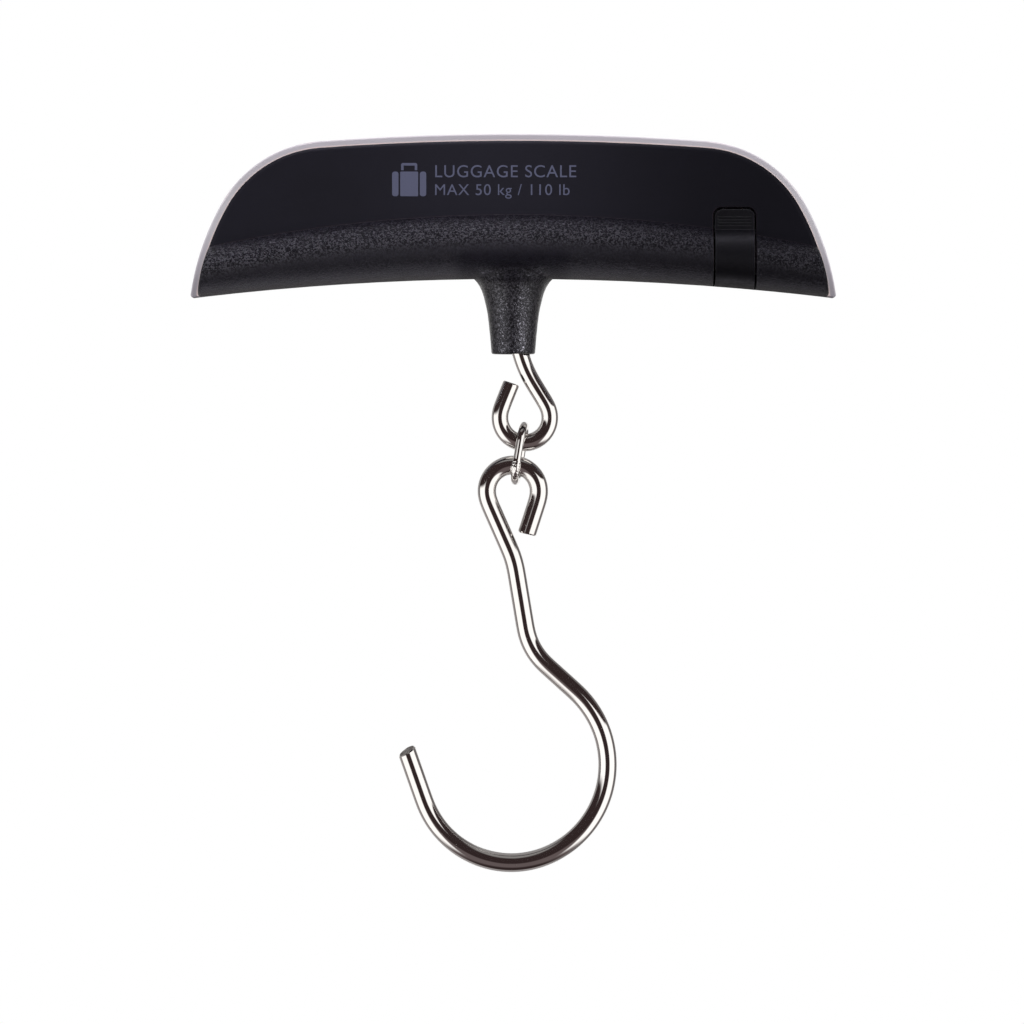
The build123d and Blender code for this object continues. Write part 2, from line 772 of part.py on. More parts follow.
def main_hook():
    """Open eye over the top, straight shank, outward bend, wide bowl, straight tip."""
    segments = [
        ("line", 8.6), ("arc", 6.12, 221.57), ("line", 12.37), ("arc", 20.65, -14.37),
        ("line", 13.6), ("arc", 14.88, 38.56), ("line", 9.27), ("arc", 23.17, -116.84),
        ("arc", 21.70, -91.59), ("line", 12.5),
    ]
    with BuildPart() as part:
        with BuildLine(Plane.XZ) as path:
            draw_wire((3.155, -66.98), 72.12, segments)
        with BuildSketch(Plane(origin=path.line @ 0, z_dir=path.line % 0)):
            Circle(hook_r)
        sweep()
        chamfer(part.faces().filter_by(GeomType.PLANE).edges(), 0.35)
    return part.part


# ---------------------------------------------------------------------------
# Battery, contacts and leads
# ---------------------------------------------------------------------------
contact_t, contact_gap = 0.3, 0.03


def battery_cell():
    with BuildPart() as part:
        with BuildSketch(Plane.YZ.offset(door_x - cell_t / 2)):
            with Locations((cell_y, cell_z)):
                Circle(cell_r)
        extrude(amount=cell_t)
        fillet(part.edges(), 0.35)
    return part.part


def battery_contact(x):
    """Upright strip with a window, its -X face at x."""
    center = (cell_y - 0.3, 5.4)        # y, z
    with BuildPart() as part:
        with BuildSketch(Plane.YZ.offset(x)) as strip:
            with Locations(center):
                Rectangle(4.4, 17.0)
            fillet(strip.vertices(), 0.8)
            with Locations(center):
                Rectangle(1.6, 7.0, mode=Mode.SUBTRACT)
        extrude(amount=contact_t)
    return part.part


def battery_wires():
    wire_r = 0.45
    from_cell = cell_t / 2 + 0.82
    with BuildPart() as part:
        for start_x, end_z in ((door_x - from_cell, 12.0), (door_x + from_cell, 15.0)):
            with BuildLine() as lead:
                Spline(
                    (start_x, 3.0, 13.4),
                    (start_x - 2.4, 3.2, 15.0),
                    (43.6, 4.6, end_z + 1.2),
                    (41.0, 6.55, end_z),
                    tangents=((0, 0, 1), (0, 1, 0)),
                )
            with BuildSketch(Plane(origin=lead.line @ 0, z_dir=lead.line % 0)):
                Circle(wire_r)
            sweep()
    return part.part


# ---------------------------------------------------------------------------
# Hinged battery door
# ---------------------------------------------------------------------------
door_stations = (door_x - door_w, door_x, door_x + door_w)


def door_hollow():
    """Space in front of the door's shell, cut from it."""
    front, panel_back, panel_low, panel_high = 8.0, panel_y + door_t, -3.0, 20.0
    with BuildPart() as part:
        for x in door_stations:
            with BuildSketch(Plane.YZ.offset(x)):
                with BuildLine():
                    draw_bulge_section(x, door_crease, door_t, front, pivot_z + knuckle_r)
                make_face()
        loft()
        with BuildSketch(Plane.YZ.offset(door_stations[0])):
            with BuildLine():
                Polyline((panel_back, panel_high), (front, panel_high), (front, panel_low),
                         (panel_back, panel_low), (panel_back, panel_high))
            make_face()
        extrude(amount=2 * door_w)
    return part.part


def battery_door():
    line_depth, line_h, line_w = 0.12, 0.26, door_w - 1.3
    tongue_w, tongue_h, tongue_t, tongue_drop = 1.9, 1.2, 0.7, 0.75
    hollow = door_hollow()
    with BuildPart() as part:
        for x in door_stations:
            with BuildSketch(Plane.YZ.offset(x)):
                with BuildLine():
                    draw_bulge_section(x, door_crease, 0.0, pivot_y, pivot_z - knuckle_r)
                make_face()
        loft()
        with BuildSketch(at_y(panel_y)):
            with Locations((door_x, 0.5 * door_top)):
                Rectangle(2 * door_w, door_top + 1.0)
        extrude(amount=-(door_t + 0.6))
        # fine finger lines above the door's crease
        with BuildSketch(at_y(panel_y + line_depth)):
            with Locations(*[(door_x, z) for z in door_lines]):
                Rectangle(line_w, line_h)
        extrude(amount=1.0, mode=Mode.SUBTRACT)
        # trim to the door's outline
        with BuildSketch(at_y(10)) as outline:
            with Locations((door_x, 0.5 * (door_top + cut_bottom))):
                Rectangle(door_w, door_top - cut_bottom)
            fillet(outline.vertices().sort_by(Axis.Y)[-2:], 1.8)
        extrude(amount=40, mode=Mode.INTERSECT)
        add(hollow, mode=Mode.SUBTRACT)
        # full-width knuckle, then the two trunnions
        for radius, half_len in ((knuckle_r, door_w / 2), (trunnion_r, door_w / 2 + trunnion_len)):
            with BuildSketch(Plane.YZ.offset(door_x - half_len)):
                with Locations((pivot_y, pivot_z)):
                    Circle(radius)
            extrude(amount=2 * half_len)
        # snap tongue on the inside, near the top edge
        with BuildSketch(at_y(panel_y + door_t - 0.1)):
            with Locations((door_x, door_top - tongue_drop)):
                Rectangle(tongue_w, tongue_h)
        extrude(amount=-tongue_t)
    return part.part


# ---------------------------------------------------------------------------
# Build and write every piece; most files take their function's name
# ---------------------------------------------------------------------------
for build in (
    rear_housing, front_cover, display_window,
    lcd_frame, lcd_panel, lcd_connector_strip,
    circuit_board, board_screws, controller_chip, board_components,
    load_cell_beam, strain_gauges, load_cell_screws, load_cell_wires,
    stem_hook, thrust_washer, stem_nut, neck_bush, link_ring, main_hook,
    battery_cell, battery_wires, battery_door,
):
    save(build.__name__, build())

for side_name, side_x in (("unit", -button_x), ("power", button_x)):
    save(side_name + "_switch_body", switch_body(side_x))
    save(side_name + "_switch_plunger", switch_plunger(side_x))
    save(side_name + "_button", button(side_x))

contact_offset = cell_t / 2 + contact_gap
save("battery_contact_positive", battery_contact(door_x + contact_offset))
save("battery_contact_negative", battery_contact(door_x - contact_offset - contact_t))
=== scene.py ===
"""Hand-held luggage scale: a moulded handle with a display, and a wire hook hanging below it.

X runs along the handle and Z is up. The printed rear panel faces -Y, towards the camera; the
display and keys face +Y. The swivel eye, the link ring and the load hook hang down along -Z.
Design lengths are in millimetres, turned into metres by MM where the scene is built.
"""

import json
import math

import bmesh
import bpy
import numpy as np
from mathutils import Matrix, Vector


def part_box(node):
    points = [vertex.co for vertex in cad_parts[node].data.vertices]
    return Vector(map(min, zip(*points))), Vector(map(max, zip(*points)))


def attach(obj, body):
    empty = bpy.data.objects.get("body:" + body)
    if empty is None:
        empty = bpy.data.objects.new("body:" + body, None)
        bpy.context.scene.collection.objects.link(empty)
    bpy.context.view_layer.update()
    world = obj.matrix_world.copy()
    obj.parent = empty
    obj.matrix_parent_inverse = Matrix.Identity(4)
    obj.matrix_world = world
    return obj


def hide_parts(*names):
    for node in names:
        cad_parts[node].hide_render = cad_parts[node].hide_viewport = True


MM = 0.001


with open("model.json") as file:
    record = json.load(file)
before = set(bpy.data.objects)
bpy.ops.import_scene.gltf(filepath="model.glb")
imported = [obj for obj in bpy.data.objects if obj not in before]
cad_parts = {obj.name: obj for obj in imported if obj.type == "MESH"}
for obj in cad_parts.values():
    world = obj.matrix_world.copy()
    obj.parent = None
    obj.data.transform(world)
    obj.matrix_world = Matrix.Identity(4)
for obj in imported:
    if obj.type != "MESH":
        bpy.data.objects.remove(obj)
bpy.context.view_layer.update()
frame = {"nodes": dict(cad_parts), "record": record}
NODES = frame["nodes"]
scene = bpy.context.scene

# ---------------------------------------------------------------------------
# Node helpers
# ---------------------------------------------------------------------------


class Nodes:
    """Short calls that add nodes to one tree. A value may be a number, a tuple or a socket."""

    def __init__(self, tree):
        self.tree = tree
        tree.nodes.clear()

    def put(self, socket, value):
        if isinstance(value, bpy.types.NodeSocket):
            self.tree.links.new(value, socket)
        else:
            socket.default_value = value

    def node(self, kind, inputs=None, **settings):
        made = self.tree.nodes.new("ShaderNode" + kind)
        for key, value in settings.items():
            setattr(made, key, value)
        for key, value in (inputs or {}).items():
            if value is not None:
                self.put(made.inputs[key], value)
        return made

    def math(self, operation, a, b=None):
        return self.node("Math", {0: a, 1: b}, operation=operation).outputs[0]

    def add(self, a, b):
        return self.math("ADD", a, b)

    def sub(self, a, b):
        return self.math("SUBTRACT", a, b)

    def mul(self, a, b):
        return self.math("MULTIPLY", a, b)

    def ramp(self, value, start, end, to=(0.0, 1.0)):
        """Smooth step from to[0] where value is `start` to to[1] where it is `end`."""
        inputs = {"Value": value, "From Min": start, "From Max": end,
                  "To Min": to[0], "To Max": to[1]}
        made = self.node("MapRange", inputs, interpolation_type="SMOOTHSTEP")
        return made.outputs["Result"]

    def mix(self, factor, off, on):
        """Blend of two colours: `off` at factor 0, `on` at factor 1."""
        return self.node("Mix", {"Factor": factor, 6: off, 7: on}, data_type="RGBA").outputs[2]

    def mix_shader(self, factor, off, on):
        return self.node("MixShader", {0: factor, 1: off, 2: on}).outputs[0]


class Material(Nodes):
    """A Principled material. Lengths are in millimetres of the object's own frame."""

    def __init__(self, name):
        self.material = bpy.data.materials.new(name)
        self.material.use_nodes = True
        super().__init__(self.material.node_tree)
        self.bsdf = self.node("BsdfPrincipled")
        self.output = self.node("OutputMaterial", {"Surface": self.bsdf.outputs[0]})
        coords = self.node("TexCoord")
        self.uv = coords.outputs["UV"]
        self.point = self.vmath("SCALE", coords.outputs["Object"], scale=1000.0)

    def axes(self):
        return self.node("SeparateXYZ", {0: self.point}).outputs

    def vmath(self, operation, a, b=None, scale=None):
        made = self.node("VectorMath", {0: a, 1: b, "Scale": scale}, operation=operation)
        return made.outputs["Value" if operation == "DOT_PRODUCT" else "Vector"]

    def noise(self, scale, detail=3.0, rough=0.5, distort=0.0, vector=None, output="Fac"):
        """scale: features per millimetre."""
        inputs = {"Vector": self.point if vector is None else vector, "Scale": scale,
                  "Detail": detail, "Roughness": rough, "Distortion": distort}
        return self.node("TexNoise", inputs).outputs[output]

    def voronoi(self, scale, feature="F1", vector=None):
        inputs = {"Vector": self.point if vector is None else vector, "Scale": scale}
        return self.node("TexVoronoi", inputs, feature=feature).outputs["Distance"]

    def mixf(self, factor, off, on):
        return self.node("Mix", {"Factor": factor, 2: off, 3: on}, data_type="FLOAT").outputs[0]

    def bump(self, height, depth, strength=1.0, normal=None):
        inputs = {"Height": height, "Distance": depth * MM, "Strength": strength,
                  "Normal": normal}
        return self.node("Bump", inputs).outputs[0]

    def bevel(self, radius):
        return self.node("Bevel", {"Radius": radius * MM}, samples=4).outputs[0]

    def contact(self, distance):
        """1 where another surface stands close by, 0 in the open."""
        near = self.node("AmbientOcclusion", {"Distance": distance * MM}, samples=8)
        return self.ramp(near.outputs["AO"], start=0.97, end=0.70)

    def edge(self, radius):
        """1 near sharp edges, 0 on faces: a mask for painted highlights on corners."""
        normal = self.node("NewGeometry").outputs["Normal"]
        agreement = self.vmath("DOT_PRODUCT", normal, self.bevel(radius))
        return self.ramp(agreement, start=0.98, end=0.80)

    def finish(self, **inputs):
        """Set the Principled inputs, with _ for a space, and return the material."""
        for key, value in inputs.items():
            self.put(self.bsdf.inputs[key.replace("_", " ")], value)
        return self.material


def srgb(*channels):
    """Linear RGBA from 0-255 sRGB channels."""
    parts = [c / 255.0 for c in channels]
    return (*(c / 12.92 if c <= 0.04045 else ((c + 0.055) / 1.055) ** 2.4 for c in parts), 1.0)


def scaled(colour, factor):
    return (*(c * factor for c in colour[:3]), 1.0)


# ---------------------------------------------------------------------------
# Materials
# ---------------------------------------------------------------------------
# the crease between panel and grip is an arc about a point below the handle
CREASE_RADIUS = 340.0
CREASE_APEX_Z = 7.87


def grained_plastic(name):
    """Rear housing: smooth matt panel above the crease, leather grain on the grip and neck."""
    mat = Material(name)
    x, _, z = mat.axes()

    def near_axis(start, end):
        return mat.ramp(mat.math("ABSOLUTE", x), start=start, end=end)

    # depth below the crease, with a slightly wandering line
    drop = mat.math("DIVIDE", mat.mul(x, x), 2 * CREASE_RADIUS)
    crease = mat.sub(CREASE_APEX_Z, drop)
    wobble = mat.mul(mat.sub(mat.noise(scale=0.55, detail=2.0), 0.5), 0.5)
    depth = mat.add(mat.sub(crease, z), wobble)
    grain_zone = mat.ramp(depth, start=-0.12, end=0.30)
    root = mat.mul(mat.ramp(z, start=-3.6, end=-5.6), near_axis(start=9.5, end=6.0))
    neck = mat.mul(mat.math("MAXIMUM", mat.ramp(z, start=-7.0, end=-8.6), root),
                   near_axis(start=14.0, end=11.0))

    def worn_zone():
        """The middle of the grip, where the grain is worn soft."""
        return mat.mul(mat.ramp(depth, start=4.5, end=8.5), mat.sub(1.0, neck))

    # leather grain: short wrinkled pads about 1 mm across, with finer pores between
    pads = mat.ramp(mat.noise(scale=2.1, detail=2.0, rough=0.6, distort=0.9),
                    start=0.40, end=0.64)
    wander = mat.noise(scale=1.1, detail=2.0, output="Color")
    warp = mat.vmath("SCALE", mat.vmath("SUBTRACT", wander, (0.5, 0.5, 0.5)), scale=0.55)
    cells = mat.voronoi(scale=2.4, feature="DISTANCE_TO_EDGE",
                        vector=mat.vmath("ADD", mat.point, warp))
    pores = mat.ramp(cells, start=0.0, end=0.30)
    fine = mat.noise(scale=7.0, detail=3.0, rough=0.6)
    pad_share, pore_share, fine_share = 0.62, 0.20, 0.18
    grain = mat.add(mat.mul(pads, pad_share),
                    mat.add(mat.mul(pores, pore_share), mat.mul(fine, fine_share)))
    smooth_height = 0.035
    smooth = mat.mul(mat.noise(scale=11.0, detail=2.0, rough=0.6), smooth_height)
    relief = mat.mixf(worn_zone(), off=mat.mixf(neck, off=0.45, on=0.17), on=0.22)
    height = mat.mixf(grain_zone, off=smooth, on=mat.mul(grain, relief))
    grained = mat.bump(height, depth=0.36, normal=mat.bevel(radius=0.35))
    normal = mat.bump(mat.noise(scale=0.045, detail=1.0), depth=0.10, strength=0.5,
                      normal=grained)

    # near black with a slight violet cast, greyer on the worn tops of the grain
    panel = mat.mix(mat.noise(scale=0.09, detail=2.0), srgb(18, 17, 23), srgb(22, 21, 29))
    # painted highlight: the panel paler towards the middle in X
    painted_middle_highlight = 0.6
    panel = mat.mix(mat.mul(near_axis(start=48.0, end=6.0), painted_middle_highlight), panel,
                    srgb(28, 27, 35))
    worn = worn_zone()
    grain_mean = 0.55
    contrast = mat.mixf(worn, off=1.0, on=0.22)
    crisp = mat.add(grain_mean, mat.mul(mat.sub(grain, grain_mean), contrast))

    def pad_tops():
        return mat.ramp(crisp, start=0.25, end=0.85)

    grip = mat.mix(pad_tops(), srgb(9, 8, 13), srgb(30, 28, 38))
    colour = mat.mix(grain_zone, panel, grip)
    # painted highlight: a paler brownish tone along the edges
    painted_edge_highlight = 0.35
    colour = mat.mix(mat.mul(mat.edge(radius=0.5), painted_edge_highlight), colour, srgb(62, 52, 55))
    # painted shade: darker towards the +X end
    shade = mat.ramp(x, start=-10.0, end=60.0, to=(1.0, 0.45))
    colour = mat.mix(shade, scaled(srgb(14, 13, 17), factor=0.5), colour)

    unworn = mat.mixf(pad_tops(), off=mat.mixf(neck, off=0.15, on=0.28),
                      on=mat.mixf(neck, off=0.95, on=1.0))
    grip_specular = mat.mixf(worn, off=unworn, on=0.28)
    # duller patch on the axis, just above the neck
    fairing = mat.mul(mat.mul(mat.ramp(z, start=-8.6, end=-7.0),
                              mat.ramp(depth, start=7.0, end=10.0)),
                      near_axis(start=15.0, end=11.0))
    grip_specular = mat.mul(grip_specular, mat.mixf(fairing, off=1.0, on=0.45))
    specular = mat.mul(mat.mixf(grain_zone, off=0.14, on=grip_specular), shade)
    panel_rough = mat.ramp(mat.noise(scale=2.0), start=0.3, end=0.7, to=(0.50, 0.58))
    grip_rough = mat.mixf(neck, off=mat.ramp(crisp, start=0.3, end=0.9, to=(0.46, 0.34)),
                          on=mat.ramp(crisp, start=0.3, end=0.9, to=(0.36, 0.28)))
    rough = mat.mixf(grain_zone, off=panel_rough, on=grip_rough)
    return mat.finish(Base_Color=colour, Roughness=rough, Normal=normal,
                      Specular_IOR_Level=specular)


def satin_plastic(name, dark, light, rough=0.45, grain=6.0, depth=0.012, edge_light=0.3,
                  specular=0.45):
    """Fine moulded plastic between two sRGB tones; edge_light pales the corners as a painted
    highlight.
    """
    mat = Material(name)
    colour = mat.mix(mat.noise(scale=0.12, detail=2.0), srgb(*dark), srgb(*light))
    height = mat.noise(scale=grain, rough=0.55)
    colour = mat.mix(mat.mul(mat.edge(radius=0.35), edge_light), colour,
                     (0.12, 0.12, 0.13, 1))
    return mat.finish(
        Base_Color=colour,
        Roughness=mat.ramp(mat.noise(scale=1.3), start=0.3, end=0.7,
                           to=(rough - 0.04, rough + 0.06)),
        Normal=mat.bump(height, depth=depth, normal=mat.bevel(radius=0.25)),
        Specular_IOR_Level=specular)


def silver_paint(name):
    """Sprayed satin silver: fine metallic flake under a thin clear coat, slightly violet."""
    mat = Material(name)
    _, y, z = mat.axes()
    flake = mat.ramp(mat.voronoi(scale=9.0), start=0.1, end=0.7)
    flake_tint, painted_middle_highlight, painted_corner_highlight = 0.22, 0.55, 0.35
    colour = mat.mix(mat.noise(scale=0.05, detail=2.0), srgb(184, 178, 185),
                     srgb(194, 188, 195))
    colour = mat.mix(mat.mul(flake, flake_tint), colour, srgb(214, 210, 216))
    # orange peel, then a fine tooth
    normal = mat.bump(mat.noise(scale=0.9, detail=2.0), depth=0.012, strength=0.6,
                      normal=mat.bevel(radius=0.25))
    normal = mat.bump(mat.noise(scale=14.0, detail=2.0), depth=0.004, normal=normal)
    # painted shade: darker at the bottom; painted highlight: paler at mid height, on corners
    # and as a pinkish line where the rim meets the black housing
    low = mat.ramp(z, start=-10.5, end=-1.0, to=(0.62, 1.0))
    middle = mat.mul(mat.ramp(z, start=-3.0, end=5.0), mat.ramp(z, start=24.0, end=10.0))
    colour = mat.mix(low, scaled(srgb(120, 115, 121), factor=0.8), colour)
    colour = mat.mix(mat.mul(middle, painted_middle_highlight), colour, srgb(222, 219, 222))
    colour = mat.mix(mat.mul(mat.edge(radius=0.45), painted_corner_highlight), colour, srgb(226, 220, 224))
    # painted highlight: a bright pinkish line on the rim where it meets the black housing
    painted_joint_highlight = mat.mul(mat.contact(distance=0.8), mat.ramp(y, start=6.0, end=4.0))
    colour = mat.mix(painted_joint_highlight, colour, srgb(255, 232, 226))
    return mat.finish(
        Base_Color=colour, Metallic=0.25, Normal=normal,
        Roughness=mat.ramp(mat.noise(scale=3.0), start=0.3, end=0.7, to=(0.34, 0.44)),
        Coat_Weight=0.15, Coat_Roughness=0.25, Specular_IOR_Level=0.5)


def chrome_wire(name):
    """Bright plated wire: fine die lines along the wire, faint pits and hairline scuffs."""
    mat = Material(name)
    # U runs along the wire in mm, V once around it
    stretched = mat.vmath("MULTIPLY", mat.uv, (0.35, 26.0, 1.0))
    lines = mat.noise(scale=1.0, rough=0.6, vector=stretched)
    pits = mat.ramp(mat.voronoi(scale=0.9), start=0.05, end=0.11)
    scuff = mat.ramp(mat.noise(scale=0.35, detail=4.0, rough=0.65), start=0.55, end=0.75)
    colour = mat.mix(mat.noise(scale=0.10, detail=2.0), (0.84, 0.82, 0.80, 1),
                     (0.78, 0.755, 0.735, 1))
    scuff_rough, pit_rough = 0.06, 0.25
    rough = mat.add(mat.ramp(lines, start=0.3, end=0.7, to=(0.045, 0.085)),
                    mat.mul(scuff, scuff_rough))
    rough = mat.add(rough, mat.mul(mat.sub(1.0, pits), pit_rough))
    line_height, pit_height = 0.5, 0.35
    height = mat.add(mat.mul(lines, line_height), mat.mul(pits, pit_height))
    normal = mat.bump(height, depth=0.0022)
    normal = mat.bump(mat.noise(scale=0.16, detail=2.0), depth=0.05, strength=0.35,
                      normal=normal)
    return mat.finish(Base_Color=colour, Metallic=1.0, Roughness=rough, Normal=normal)


def cut_end(name):
    """Sheared wire end: duller, torn face."""
    mat = Material(name)
    torn = mat.noise(scale=2.4, detail=4.0, rough=0.7, distort=0.6)
    return mat.finish(
        Base_Color=mat.mix(torn, (0.14, 0.125, 0.12, 1), (0.42, 0.39, 0.37, 1)),
        Metallic=1.0, Roughness=mat.ramp(torn, start=0.3, end=0.7, to=(0.30, 0.5)),
        Normal=mat.bump(torn, depth=0.06))


def metal(name, dark, light, rough=0.3, scale=2.0, depth=0.01, stretch=(1, 1, 1)):
    """Bare metal between two linear RGBA tones; stretch draws its texture out along an axis."""
    mat = Material(name)
    texture = mat.noise(scale=scale, rough=0.6,
                        vector=mat.vmath("MULTIPLY", mat.point, stretch))
    return mat.finish(
        Base_Color=mat.mix(mat.noise(scale=0.4), dark, light), Metallic=1.0,
        Roughness=mat.ramp(texture, start=0.25, end=0.75, to=(rough - 0.07, rough + 0.08)),
        Normal=mat.bump(texture, depth=depth, normal=mat.bevel(radius=0.12)))


def clear_lens(name):
    mat = Material(name)
    return mat.finish(
        Base_Color=(0.93, 0.95, 0.95, 1), Transmission_Weight=1.0, IOR=1.49,
        Roughness=mat.ramp(mat.noise(scale=0.8), start=0.4, end=0.7, to=(0.03, 0.06)),
        Normal=mat.bump(mat.noise(scale=0.12, detail=1.0), depth=0.01, strength=0.3))


def lcd_glass(name):
    mat = Material(name)
    tone = mat.noise(scale=0.2, detail=2.0)
    return mat.finish(
        Base_Color=mat.mix(tone, srgb(150, 158, 142), srgb(160, 168, 150)), Roughness=0.22,
        Normal=mat.bump(mat.noise(scale=5.0, detail=2.0), depth=0.004),
        Specular_IOR_Level=0.5)


def circuit_board(name):
    """Green solder mask with faint raised tracks, running along X or Z in patches."""
    mat = Material(name)
    x, _, z = mat.axes()
    tracks_per_mm = 0.55

    def off_centre(axis):
        """Distance from the middle of a track, as a share of the track pitch."""
        phase = mat.math("FRACT", mat.mul(axis, tracks_per_mm))
        return mat.math("ABSOLUTE", mat.sub(phase, 0.5))

    across_x, across_z = off_centre(x), off_centre(z)
    patch = mat.math("GREATER_THAN", mat.noise(scale=0.13, detail=1.0), 0.5)
    track = mat.mixf(patch, off=mat.ramp(across_x, start=0.10, end=0.06),
                     on=mat.ramp(across_z, start=0.10, end=0.06))
    return mat.finish(Base_Color=mat.mix(track, srgb(18, 82, 46), srgb(38, 122, 74)),
                      Roughness=0.3, Normal=mat.bump(track, depth=0.03),
                      Coat_Weight=0.4, Coat_Roughness=0.12)


def zebra_rubber(name):
    """Alternating pink and black layers along X."""
    mat = Material(name)
    layers_per_mm = 3.0
    phase = mat.math("FRACT", mat.mul(mat.axes()[0], layers_per_mm))
    stripe = mat.math("GREATER_THAN", phase, 0.5)
    return mat.finish(Base_Color=mat.mix(stripe, srgb(196, 120, 128), srgb(28, 26, 28)),
                      Roughness=0.6,
                      Normal=mat.bump(mat.noise(scale=6.0, detail=2.0), depth=0.01))


def printed_ink(name, colour):
    mat = Material(name)
    tone = mat.noise(scale=3.5)
    return mat.finish(
        Base_Color=mat.mix(tone, scaled(colour, factor=0.9), scaled(colour, factor=1.08)),
        Roughness=0.5, Normal=mat.bump(mat.noise(scale=11.0, detail=2.0), depth=0.01),
        Specular_IOR_Level=0.35)


# material slot: (builder, its settings)
LOOKS = {
    "black_grained_plastic": (grained_plastic, {}),
    "black_satin_plastic": (satin_plastic, dict(
        dark=(7, 7, 10), light=(11, 10, 14), rough=0.50, grain=7.0, edge_light=0.15,
        specular=0.13)),
    "silver_paint": (silver_paint, {}),
    "clear_lens": (clear_lens, {}),
    "lcd_glass": (lcd_glass, {}),
    "white_plastic": (satin_plastic, dict(
        dark=(214, 213, 208), light=(224, 223, 218), rough=0.5, grain=5.0, depth=0.01,
        edge_light=0.0)),
    "conductive_rubber": (zebra_rubber, {}),
    "green_board": (circuit_board, {}),
    "zinc_steel": (metal, dict(
        dark=(0.60, 0.60, 0.57, 1), light=(0.70, 0.69, 0.64, 1), scale=3.0, depth=0.008)),
    "black_epoxy": (satin_plastic, dict(
        dark=(20, 20, 21), light=(28, 27, 28), rough=0.32, grain=2.0, depth=0.02,
        edge_light=0.1)),
    "component_ceramic": (satin_plastic, dict(
        dark=(150, 128, 98), light=(168, 146, 112), rough=0.4, grain=5.0, depth=0.01,
        edge_light=0.0)),
    "switch_plunger": (satin_plastic, dict(
        dark=(206, 203, 190), light=(214, 212, 200), rough=0.5, grain=5.0, depth=0.01,
        edge_light=0.0)),
    "grey_button": (satin_plastic, dict(
        dark=(58, 58, 62), light=(66, 66, 70), rough=0.55, grain=5.0, depth=0.02,
        edge_light=0.25)),
    "milled_aluminium": (metal, dict(
        dark=(0.72, 0.72, 0.73, 1), light=(0.80, 0.80, 0.81, 1), rough=0.34, scale=3.0,
        depth=0.012, stretch=(0.08, 1.5, 1.5))),
    "gauge_film": (satin_plastic, dict(
        dark=(176, 112, 44), light=(190, 126, 54), rough=0.35, grain=5.0, depth=0.006,
        edge_light=0.0)),
    "wire_red": (satin_plastic, dict(
        dark=(158, 26, 26), light=(172, 34, 32), rough=0.42, grain=4.0, depth=0.01,
        edge_light=0.0)),
    "wire_black": (satin_plastic, dict(
        dark=(26, 26, 27), light=(34, 33, 34), rough=0.42, grain=4.0, depth=0.01,
        edge_light=0.0)),
    "acetal_bush": (satin_plastic, dict(
        dark=(222, 220, 212), light=(230, 228, 221), rough=0.42, grain=4.0, depth=0.008,
        edge_light=0.0)),
    "cell_steel": (metal, dict(
        dark=(0.66, 0.65, 0.63, 1), light=(0.74, 0.73, 0.71, 1), rough=0.26)),
    "nickel_strip": (metal, dict(
        dark=(0.70, 0.68, 0.63, 1), light=(0.76, 0.74, 0.70, 1), rough=0.28, depth=0.008,
        stretch=(1.5, 0.1, 1.5))),
    "chrome_wire": (chrome_wire, {}),
    "brass_washer": (metal, dict(
        dark=(0.70, 0.52, 0.24, 1), light=(0.78, 0.60, 0.30, 1), scale=3.0)),
}
MATERIALS = {name: build(name, **settings) for name, (build, settings) in LOOKS.items()}
CUT_END = cut_end("cut_wire_end")

for part in frame["record"]["subparts"]:
    mesh = NODES[part["node"]].data
    mesh.materials.clear()
    mesh.materials.append(MATERIALS[part["material_slot"]])
    for polygon in mesh.polygons:
        polygon.material_index = 0


def mesh_object(name, bm, *materials, recalc=True):
    """Turn a bmesh into a linked object with the given material slots."""
    if recalc:
        bmesh.ops.recalc_face_normals(bm, faces=bm.faces)
    mesh = bpy.data.meshes.new(name)
    bm.to_mesh(mesh)
    bm.free()
    for material in materials:
        mesh.materials.append(material)
    obj = bpy.data.objects.new(name, mesh)
    scene.collection.objects.link(obj)
    return obj


# ---------------------------------------------------------------------------
# Wires: swept meshes along the design's centre lines
# ---------------------------------------------------------------------------
CHAIN_STEP = 0.15
EASE_SPREAD = 1.1       # mm of wire over which a join between segments is eased
EASE_REACH = 30         # steps to either side that the easing takes in
END_LENGTH = 3.0        # mm over which a sheared end's lean fades out
CORE_SHARE = 0.55       # inner ring of an end face, as a share of the wire radius
END_BULGE = 0.02


def chain(start, heading, segments):
    """Dense centre line (N, 3) in the XZ plane, with eased joins.

    Segments are ("line", length) or ("arc", radius, left turn in degrees).
    """
    steps, headings = [], []
    angle = math.radians(heading)
    for kind, size, *turns in segments:
        turn = math.radians(turns[0]) if kind == "arc" else 0.0
        length = size * abs(turn) if kind == "arc" else size
        count = max(2, int(round(length / CHAIN_STEP)))
        steps += [length / count] * count
        headings += [angle + turn * (i + 0.5) / count for i in range(count)]
        angle += turn
    steps, headings = np.array(steps), np.array(headings)

    def walk(angles):
        moves = np.c_[np.cos(angles), np.sin(angles)] * steps[:, None]
        return np.vstack([[0, 0], np.cumsum(moves, 0)]) + np.array(start)

    offsets = np.arange(-EASE_REACH, EASE_REACH + 1) * CHAIN_STEP
    kernel = np.exp(-0.5 * (offsets / EASE_SPREAD) ** 2)
    kernel /= kernel.sum()
    padded = np.pad(headings, EASE_REACH, mode="edge")
    eased = walk(np.convolve(padded, kernel, "valid"))
    # spread the closing error so the far end stays where the plain segments put it
    eased += (walk(headings)[-1] - eased[-1]) * np.linspace(0, 1, len(eased))[:, None]
    return np.c_[eased[:, 0], np.zeros(len(eased)), eased[:, 1]]


def rough_noise(points, scale, seed):
    """Smooth repeatable noise, roughly -1..1, from a few fixed sine waves."""
    random = np.random.RandomState(seed)
    value = np.zeros(len(points))
    for i in range(6):
        direction = random.normal(size=3)
        direction /= np.linalg.norm(direction)
        phase = random.uniform(0, 6.28)
        value += np.sin(points @ direction * scale * (0.7 + 0.5 * i) + phase) / (1 + 0.5 * i)
    return value / 2.4


